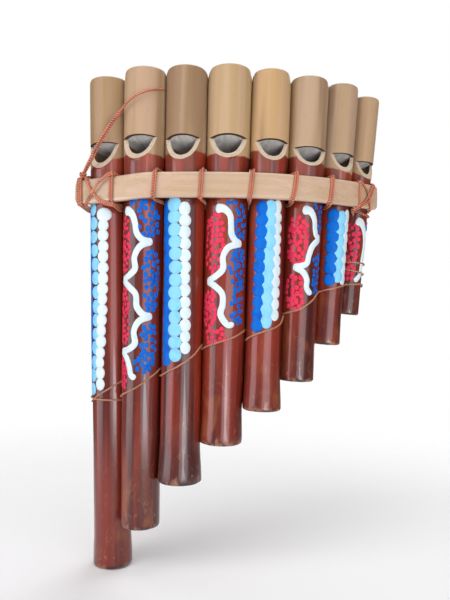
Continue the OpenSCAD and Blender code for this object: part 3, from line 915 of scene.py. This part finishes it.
LEFT_ALONG = BEARING[0] - END_TURN
FACE = FRONT_T + TIE_HALF + PROUD
STRAND_HALF = 0.55    # half the distance between the strands of a doubled cord


def left_face(*places):
    """Points on the front slat left of pipe 1, from places (distance, z) or (distance, z, lift)."""
    return [[*(CONTACT[0] - s * along(LEFT_ALONG) + (FACE + sum(lift)) * front(LEFT_ALONG)), z]
            for s, z, *lift in places]


def right_face(*places):
    """The same at pipe 8, with the distance towards the right."""
    return [[*(CONTACT[LAST] + s * along(BEARING[LAST]) + (FACE + sum(lift)) * front(BEARING[LAST])), z]
            for s, z, *lift in places]


def on_back(*places):
    """Points on the back slat, from places (x, z)."""
    return [[x, back_at(x) + BACK_T + 1.25 * TIE_HALF + PROUD, z] for x, z in places]


def in_gap(i, *places):
    """Points between a pipe and the next, from places (distance outwards, z)."""
    return [[*(gap_at(i) + u * front(STEP_ANGLE[i])), z] for u, z in places]


def left_strands():
    """Three turns outside pipe 1, and two doubled strands that cross on the front slat."""
    strands = []
    for s, x in ((11.7, -86.8), (10.4, -85.2), (9.1, -83.6)):
        strands.append(
            on_back((x, -1), (x, 5), (x, 8.1))
            + left_face((s, 6.8, -2), (s, 6.4, -0.6), (s + 0.1, 5), (s, 2), (s - 0.1, -3),
                        (s - 0.4, -7.6), (s - 0.4, -9.2, -0.6), (s - 0.4, -9.6, -2))
            + on_back((x, -8.1), (x, -5), (x, 0.2)))
    for w in (-STRAND_HALF, STRAND_HALF):
        strands.append(
            on_back((-62, 4), (-62, 8.2)) + in_gap(0, (-4, 8), (5, 6.6))
            + left_face((-15.8, 6.4 + w, -1.2), (-13, 5.6 + w, 0.2), (-9.4 - w, 4 + w, 0.2),
                        (-6.4 - w, 1.4 + w, 0.8), (-3.4 - w, -1.6 + w, 1.1), (-0.6 - w, -4.2 + w, 1),
                        (2.2 - w, -6.6 + w, 0.3), (4.6 - w, -9.2 + w, -0.3), (5.6 - w, -10.2, -1.6))
            + on_back((-80 + w, -8.2), (-80 + w, -4)))
        strands.append(
            on_back((-79 + w, 4), (-79 + w, 8.1))
            + left_face((5.6 - w, 6.9, -1.8), (5 - w, 5.9, -0.3), (3.3 - w, 2.6 - w, 0.1),
                        (1.3 - w, -0.6 - w, 0.1), (-2.2 - w, -4.6 - w, 0.1), (-6.2, -8.2 - w, -0.2),
                        (-10.6, -10.2 - w, -1.4), (-15.6, -11.4 - w, -2.2))
            + in_gap(0, (6, -12.4 - w), (-4, -10.4)) + on_back((-62, -8.4), (-62, -4)))
    return strands


def right_strands():
    """A strand and a doubled one that cross on the slat beside pipe 8, and one under the slat."""
    strands = [
        on_back((67.8, 3), (67.8, 8.2)) + in_gap(6, (-4, 8), (4, 7.4))
        + right_face((-9.4, 7.2, -0.8), (-8, 5.6, 0.1), (-5.6, 3.4, 0.2), (-4, 0, 0.9),
                     (-2.9, -3.4, 0.6), (-1.6, -7), (-1, -8.6, -0.6), (0, -9, -3))
        + on_back((84, -8.2), (84, -3))]
    for w in (-STRAND_HALF, STRAND_HALF):
        strands.append(
            on_back((88, -2), (88, 8.1))
            + right_face((1.6, 7.5, -2), (0.9 + w, 6.2), (-0.8 + w, 2.8 - w, 0.3),
                         (-2.8 + w, -0.6 - w, 0.8), (-5.2 + w, -3.6 - w, 0.8), (-8.2, -6 - w, 0.1),
                         (-11.6, -8.4 - w, -0.4), (-14.6, -9.8 - w, -1.8))
            + in_gap(6, (5, -11 - w), (-4, -9.4)) + on_back((67.8, -8.2), (67.8, -3)))
    round_pipe = ((80, -10.6), (60, -10.4), (30, -10.2), (0, -9.4), (-30, -8.6))
    strands.append(on_back((84, -8.6)) + [on_pipe(LAST, a, z, 0.5) for a, z in round_pipe]
                   + in_gap(6, (3, -8.6), (-4, -9)))
    return strands


def binding_strands():
    """The thin cord over the fronts of the pipes, its turns round the longest pipe and the
    shortest, and the way back behind them."""
    rub = BINDING_D / 2 + 0.1
    last_z, first_z, upper_z = -53.2, -122.6, -39.4     # where the turns round the end pipes lie
    route = []
    for i, places in enumerate(BINDING):
        route += [on_pipe(i, a, z, rub) for a, z in places]
        if i < LAST:
            route += in_gap(i, (0.4, places[-1][1] + 0.3), (0.4, BINDING[i + 1][0][1] - 0.3))
    for a in range(90, 200, 18):
        route.append(on_pipe(LAST, a, last_z, rub))
    for i in range(LAST - 1, -1, -1):
        behind = sum(z for _, z in BINDING[i]) / len(BINDING[i])
        for a in (160, 200):
            route.append(on_pipe(i, a, behind, rub))
    for a in range(225, 640, 18):
        route.append(on_pipe(0, a, first_z - (a - 225) / 120, rub))
    upper = [on_pipe(LAST, a, upper_z - max(a - 60, 0) / 60, rub) for a in range(-80, 640, 20)]
    return [route, upper]


def knot_path():
    """A small overhand knot."""
    t = np.linspace(0, 2 * pi, 40)
    size = 0.55
    x = size * (np.sin(t) + 2 * np.sin(2 * t))
    z = 1.25 * size * (np.cos(t) - 2 * np.cos(2 * t))
    y = -1.3 * size * np.sin(3 * t)
    return np.stack([x, y, z], axis=1) + KNOT_AT


# ---- raised paint
SUNK = 0.15           # how far a paint shape's underside is sunk into the pipe
DOME_SIDES = 22
DOT_HEIGHT = 0.32
WAVE_HEIGHT = 0.6


def on_skin(i, across, z, lift):
    """Points on a pipe in its own frame: across is measured round the pipe in millimetres."""
    r = outer_r(i, z)
    a = across / r
    r = r + wobble(i, a, z) + lift
    return np.stack([r * np.sin(a), -r * np.cos(a), z], axis=-1)


def dome(i, degrees, z, width, tall, height, first):
    """A drop of thick paint: a low dome with a rolled edge, laid round the pipe."""
    middle = radians(degrees) * outer_r(i, z)
    ring = circle(DOME_SIDES)
    profile = [(1.0, -SUNK), (1.0, 0.25 * height), (0.95, 0.62 * height), (0.84, 0.9 * height),
               (0.6, height), (0.3, 1.02 * height)]
    points = [on_skin(i, middle, z, -SUNK)]
    for scale, lift in profile:
        points += list(on_skin(i, middle + scale * width / 2 * np.cos(ring),
                               z + scale * tall / 2 * np.sin(ring), lift))
    points.append(on_skin(i, middle, z, 1.02 * height))
    return points, pointed_faces(len(profile), DOME_SIDES, first)


def stroke(i, route, width, height, first, start):
    """A thick brush line through (angle, z) places, with round ends, wider at its start."""
    flat = [(radians(a) * outer_r(i, z), z, 0.0) for a, z in route]
    path = smooth_path(flat, 0.5)[:, :2]
    head, run = directions(path), run_along(path)
    normal = np.stack([-head[:, 1], head[:, 0]], axis=1)
    half = width / 2
    points = []
    arch = np.radians(np.linspace(0, 180, 11))
    for k in range(len(path)):
        near = min(run[k], run[-1] - run[k])
        grow = sqrt(max(1 - (1 - min((near + 0.15) / half, 1)) ** 2, 0.02))
        w = (half + start * exp(-(run[k] / 5) ** 2)) * grow * (1 + 0.05 * sin(run[k] / 3.1))
        across = path[k, 0] + normal[k, 0] * w * np.cos(arch)
        z = path[k, 1] + normal[k, 1] * w * np.cos(arch)
        lift = height * grow ** 0.5 * np.sin(arch) ** 0.6
        lift[[0, -1]] = -SUNK
        points += list(on_skin(i, across, z, lift))
        points += list(on_skin(i, across[9:1:-2], z[9:1:-2], -SUNK))
    return points, tube_faces(len(path), len(points) // len(path), first)


class Brush:
    """The paint shapes of one colour on one pipe, which become one piece."""

    def __init__(self, i):
        self.i, self.points, self.faces = i, [], []

    def dome(self, degrees, z, width, tall, height):
        self.take(dome(self.i, degrees, z, width, tall, height, len(self.points)))

    def stroke(self, route, width, height, start):
        self.take(stroke(self.i, route, width, height, len(self.points), start))

    def take(self, made):
        self.points += made[0]
        self.faces += made[1]

    def finish(self, colour_name, material):
        piece = new_object(f"paint_{colour_name}_{self.i + 1}", self.points, self.faces, [material],
                           None, pipe_frame(self.i), 60)
        fix_normals(piece)
        return place(piece, [], "lacquered_bamboo")


# Columns of overlapping drops: pipe, colour, the column's course as (angle, z) from the top, number
# of drops, width and height of a drop, width of the first drop, and how thick they lie.
DROP_COLUMNS = [
    (0, "blue", [(-72, -14), (-76, -118)], 17, 6.6, 8.4, 6.2, 0.4),
    (0, "light_blue", [(-51, -11.5), (-51, -27), (-45, -36), (-39, -52), (-36, -70), (-41, -88),
                       (-45, -100), (-57, -110), (-60, -118)], 14, 7.6, 7.9, 6.8, 0.5),
    (0, "white", [(-7, -15), (-11, -23), (-12, -50), (-19, -80), (-25, -101), (-26, -114.5)],
     17, 6.8, 7.5, 10.2, 0.66),
    (2, "white", [(5, -14), (8, -50), (12, -78), (14, -92)], 13, 6.6, 7.2, 7.0, 0.5),
    (2, "blue", [(-60, -13), (-54, -29), (-48, -48), (-50, -82), (-48, -98.5)], 16, 7.2, 8.2, 7.2, 0.42),
    (2, "light_blue", [(-29, -11), (-24, -28), (-20, -42), (-18, -53), (-20, -63), (-18, -80),
                       (-16, -96)], 13, 8.5, 7.8, 9.2, 0.62),
    (4, "white", [(30, -11), (31, -40), (31, -72)], 11, 6.2, 7.0, 5.6, 0.42),
    (4, "light_blue", [(7, -12.5), (5, -45), (2, -76)], 11, 7.3, 8.2, 6.8, 0.54),
    (4, "blue", [(-20, -12.5), (-24, -45), (-29, -78.4)], 11, 7.4, 7.4, 7.0, 0.66),
    (6, "white", [(50, -13), (50, -50)], 7, 5.6, 7.2, 5.4, 0.42),
    (6, "light_blue", [(21, -14), (24, -48.5)], 6, 6.7, 7.6, 6.2, 0.54),
    (6, "blue", [(-10, -13.5), (-9, -36), (-8, -50.5)], 7, 7.7, 7.4, 7.6, 0.66)]

# The wavy white lines: pipe, its strokes as (angle, z) from the top, and their width. Each stroke
# starts where the one before it ends.
WAVES = [
    (1, [[(-54, -14.2), (-40, -14.4), (-27, -16.6), (-18, -21.5), (-13, -27), (4, -31), (31, -31.8)],
         [(-2, -34.6), (-19, -41), (-17, -47.5), (-34, -51), (-62, -53.6)],
         [(-36, -57.6), (-14, -62), (-10, -69), (8, -73.4), (33, -74.4)],
         [(-2, -77), (-18, -83), (-15, -90), (-36, -93.4), (-66, -94.6)],
         [(-42, -98.4), (-31, -103.6), (-25, -108), (-11, -109.6)]], 3.7),
    (3, [[(-30, -13), (-8, -13.2), (9, -16.6), (13, -23), (15, -27.4), (26, -30.8), (45, -32.4)],
         [(8, -34.8), (-6, -40), (-6, -47), (-24, -51), (-53, -53.8)],
         [(-22, -57.4), (-6, -61), (-4, -67), (-9, -72), (0, -76), (14, -78.4),
          (28, -77.4)]], 3.6),
    (5, [[(-10, -12), (14, -12.6), (31, -17), (35, -22.6), (42, -26), (58, -27.4)],
         [(28, -32.4), (17, -38), (11, -42.4), (-6, -44), (-31, -44.6)],
         [(0, -47.4), (14, -51.6), (15, -56.4), (31, -60)]], 3.5),
    (7, [[(-6, -14), (22, -15.6), (44, -20.4), (56, -29), (49, -38), (41, -46), (14, -50.6)]], 3.2)]
WIDE_START = 0.95       # how much wider, on each side, a line's first few millimetres are

# Clusters of small dots: pipe, colour, range of angles, range of heights, number, size.
CLUSTERS = [
    (1, "blue", (-32, 4), (-10.5, -8.5), 3, 2.9), (1, "blue", (-8, 52), (-30, -9), 21, 3.0),
    (1, "blue", (6, 54), (-71, -37.4), 32, 3.0), (1, "blue", (4, 52), (-97, -79), 17, 3.0),
    (1, "blue", (-14, 40), (-106.6, -95.6), 14, 2.9),
    (1, "pink", (-76, -35), (-49, -18), 34, 2.3), (1, "pink", (-78, -36), (-91, -58), 40, 2.3),
    (1, "pink", (-78, -42), (-116, -98), 24, 2.2),
    (3, "blue", (4, 30), (-11, -8.8), 3, 2.5), (3, "blue", (24, 60), (-30, -10), 16, 2.7),
    (3, "blue", (12, 64), (-59, -35.4), 28, 2.7), (3, "blue", (18, 62), (-77, -57.4), 17, 2.7),
    (3, "pink", (-64, -6), (-49, -16), 36, 2.9), (3, "pink", (-66, -24), (-80, -59), 27, 2.8),
    (3, "pink", (-58, 8), (-89, -80), 13, 2.7),
    (5, "blue", (24, 38), (-10.5, -7.6), 2, 2.2), (5, "blue", (48, 68), (-23, -8.4), 8, 2.3),
    (5, "blue", (34, 70), (-59, -35), 19, 2.3),
    (5, "pink", (-56, 10), (-43, -15.4), 34, 3.0), (5, "pink", (-54, 8), (-69, -49.6), 22, 3.0),
    (7, "pink", (-58, 18), (-40.5, -16), 29, 2.6), (7, "pink", (-56, 10), (-49.6, -41), 10, 2.7),
    (7, "blue", (62, 84), (-20, -12), 3, 1.8)]
SQUARENESS = 2.8        # 2 would keep a cluster to an ellipse, and more lets it fill its corners
TRIES = 4000            # places tried for a cluster's dots
TRIES_APART = 2500      # how many of them keep the dots well apart


def paint_drops(brushes, rng):
    for i, colour, course, count, width, tall, first_width, thick in DROP_COLUMNS:
        places = np.array(course, float)
        for k, z in enumerate(np.linspace(places[0, 1], places[-1, 1], count)):
            angle = np.interp(-z, -places[:, 1], places[:, 0]) + rng.uniform(-1, 1)
            w = first_width if k == 0 else width * (1.07 - 0.16 * k / count)
            w *= 1 + 0.08 * rng.uniform(-1, 1)
            h = tall * (1.12 if k == 0 else 1) * (1 + 0.05 * rng.uniform(-1, 1))
            brushes(i, colour).dome(angle, z + rng.uniform(-0.3, 0.3), w, h, thick + 0.03 * (k % 2))


def paint_waves(brushes):
    for i, strokes, width in WAVES:
        start, wider = [], WIDE_START
        for route in strokes:
            brushes(i, "white").stroke(start + route, width, WAVE_HEIGHT, wider)
            start, wider = [route[-1]], 0


def paint_clusters(brushes, rng):
    """Each dot keeps its distance from the others, and less of it once room runs short."""
    for i, colour, angles, heights, count, size in CLUSTERS:
        brush, taken, tries = brushes(i, colour), [], 0
        while len(taken) < count and tries < TRIES:
            tries += 1
            a, z = rng.uniform(*angles), rng.uniform(*heights)
            off_a = abs(2 * a - sum(angles)) / (angles[1] - angles[0])
            off_z = abs(2 * z - sum(heights)) / (heights[1] - heights[0])
            if off_a ** SQUARENESS + off_z ** SQUARENESS > 1:
                continue
            u = radians(a) * outer_r(i, z)
            room = size * (0.86 if tries < TRIES_APART else 0.74)
            if all((u - v) ** 2 + ((z - y) * 0.85) ** 2 > room ** 2 for v, y in taken):
                taken.append((u, z))
                long = rng.choice([1, 1, 1.1, 1.3])
                across = size * rng.uniform(0.88, 1.04) * (1.12 - 0.14 * long)
                brush.dome(a, z, across, size * long, DOT_HEIGHT)


def make_paint():
    finishes = {
        "white": paint("paint_white", srgb(202, 217, 220), srgb(188, 206, 214)),
        "light_blue": paint("paint_light_blue", srgb(128, 194, 224), srgb(112, 182, 216)),
        "blue": paint("paint_blue", srgb(0, 97, 190), srgb(0, 76, 168)),
        "pink": paint("paint_pink", srgb(212, 52, 84), srgb(192, 26, 58))}
    made, rng = {}, random.Random(7)

    def brushes(i, colour):
        return made.setdefault((i, colour), Brush(i))

    paint_drops(brushes, rng)
    paint_clusters(brushes, rng)
    paint_waves(brushes)
    for (i, colour), brush in sorted(made.items()):
        brush.finish(colour, finishes[colour])


# ---- stage
def make_floor():
    """A plain pale floor that fades out into the pale room."""
    f = Finish("floor")
    away = f.add("VectorMath", {0: f.place}, operation="LENGTH").outputs["Value"]
    f.set(Base_Color=(0.94, 0.94, 0.94, 1), Roughness=0.9, Alpha=f.clamp(away, 0.12, 0.55, 1, 0))
    size, steps = 700, 48
    ring = [(size * cos(a), size * sin(a), 0) for a in circle(steps)]
    floor = new_object("floor", ring, [list(range(steps))], [f.material])
    floor.location.z = cad_box[0][2] - 0.1 * MM


def make_room():
    """White to look at, and a softer grey as a light."""
    world = bpy.data.worlds.new("room")
    bpy.context.scene.world = world
    world.use_nodes = True
    nodes, links = world.node_tree.nodes, world.node_tree.links
    nodes.clear()
    path, mix = nodes.new("ShaderNodeLightPath"), nodes.new("ShaderNodeMixShader")
    links.new(path.outputs["Is Camera Ray"], mix.inputs[0])
    for place_in_mix, colour, strength in ((1, (0.95, 0.97, 1, 1), 0.13), (2, (1, 1, 1, 1), 1)):
        background = nodes.new("ShaderNodeBackground")
        background.inputs["Color"].default_value = colour
        background.inputs["Strength"].default_value = strength
        links.new(background.outputs[0], mix.inputs[place_in_mix])
    links.new(mix.outputs[0], nodes.new("ShaderNodeOutputWorld").inputs["Surface"])


AIM = Vector((0, 0, -0.07))     # the middle of the object, in metres


def softbox(name, place_at, size, radiance, colour=(1, 1, 1)):
    """A soft rectangular light that faces the object. Its place and size are metres."""
    data = bpy.data.lights.new(name, "AREA")
    data.shape = "RECTANGLE"
    data.size, data.size_y = size
    data.energy = radiance * pi * size[0] * size[1]
    data.color = colour
    lamp = add_object(name, data)
    lamp.location = place_at
    lamp.rotation_euler = (AIM - Vector(place_at)).to_track_quat("-Z", "Z").to_euler()


def around_front(degrees, distance, z):
    a = radians(degrees)
    return distance * sin(a), -distance * cos(a), z


def make_lights():
    """Large soft lights. The three at the sides and below give the lacquer its long highlights."""
    softbox("left_softbox", around_front(-66, 1.0, -0.19), (1.0, 0.72), 3.0, (0.97, 0.92, 1))
    softbox("right_softbox", around_front(24, 1.1, -0.2), (0.85, 0.8), 2.8, (0.97, 0.93, 1))
    softbox("front_softbox", (-0.6, -0.85, 0.9), (1.2, 0.8), 2.7, (1, 0.99, 0.98))
    softbox("haze_softbox", (0, -1.1, 0.36), (4.0, 0.4), 1.2, (1, 0.95, 1))
    softbox("top_softbox", (0.1, -0.1, 1.1), (1.2, 1.0), 1.6)
    softbox("back_softbox", around_front(160, 1.2, 0.4), (1.2, 1.0), 2.6)
    softbox("low_softbox", (0.45, -0.8, -0.42), (0.6, 0.3), 7)
    bpy.context.scene.view_settings.view_transform = "Standard"
    bpy.context.scene.view_settings.look = "None"


# ---- the object
def make_loop(cord):
    path = smooth_path(LOOP_ROUTE, CORD_STEP * LOOP_D)
    length = float(run_along(path)[-1]) * MM
    knot = make_cords("loop_knot_tied", [knot_path()], KNOT_D, cord, "loop_knot")
    loop = make_cords("hanging_cord", [LOOP_ROUTE], LOOP_D, cord, "hanging_loop")


def make_slats():
    front_cane = split_bamboo("slat_front", srgb(182, 154, 128))
    make_slat("split_slat_front", front_curve(), FRONT_T, 1, front_cane, "front_slat",
              (2.4, 4.2, 2.2, 2.6), droop)
    back_cane = split_bamboo("slat_back", srgb(196, 168, 134))
    make_slat("split_slat_back", back_curve(), BACK_T, -1, back_cane, "back_slat",
              (2.2, 2.6, 2.4, 2.2), lambda x: 0.0)


def make_object():
    # Cord colours: a base, a pale tone for lint and painted highlights, and a dark tone for darker
    # patches and painted shade in the grooves.
    cord = waxed_cord("waxed_cord", srgb(168, 76, 44), srgb(220, 142, 102), srgb(76, 28, 18))
    thin_cord = waxed_cord("thin_cord", srgb(154, 82, 54), srgb(212, 156, 120), srgb(74, 34, 22))
    make_loop(cord)
    cut_face, bore, saw_cut, wood = cane_cut(), cane_bore(), cane_edge(), block_wood()
    for i in range(LAST + 1):
        make_pipe(i, cut_face, bore, saw_cut)
        make_block(i, wood)
    make_slats()
    for i in range(LAST):
        make_cords(f"tie_cord_{i + 1}", [tie_route(i)], TIE_D, cord, f"slat_tie_{i + 1}")
    make_cords("lashing_left", left_strands(), TIE_D, cord, "left_lashing")
    make_cords("lashing_right", right_strands(), TIE_D, cord, "right_lashing")
    make_cords("binding_cord", binding_strands(), BINDING_D, thin_cord, "lower_binding")
    make_paint()


make_camera()
make_object()
make_floor()
make_room()
make_lights()
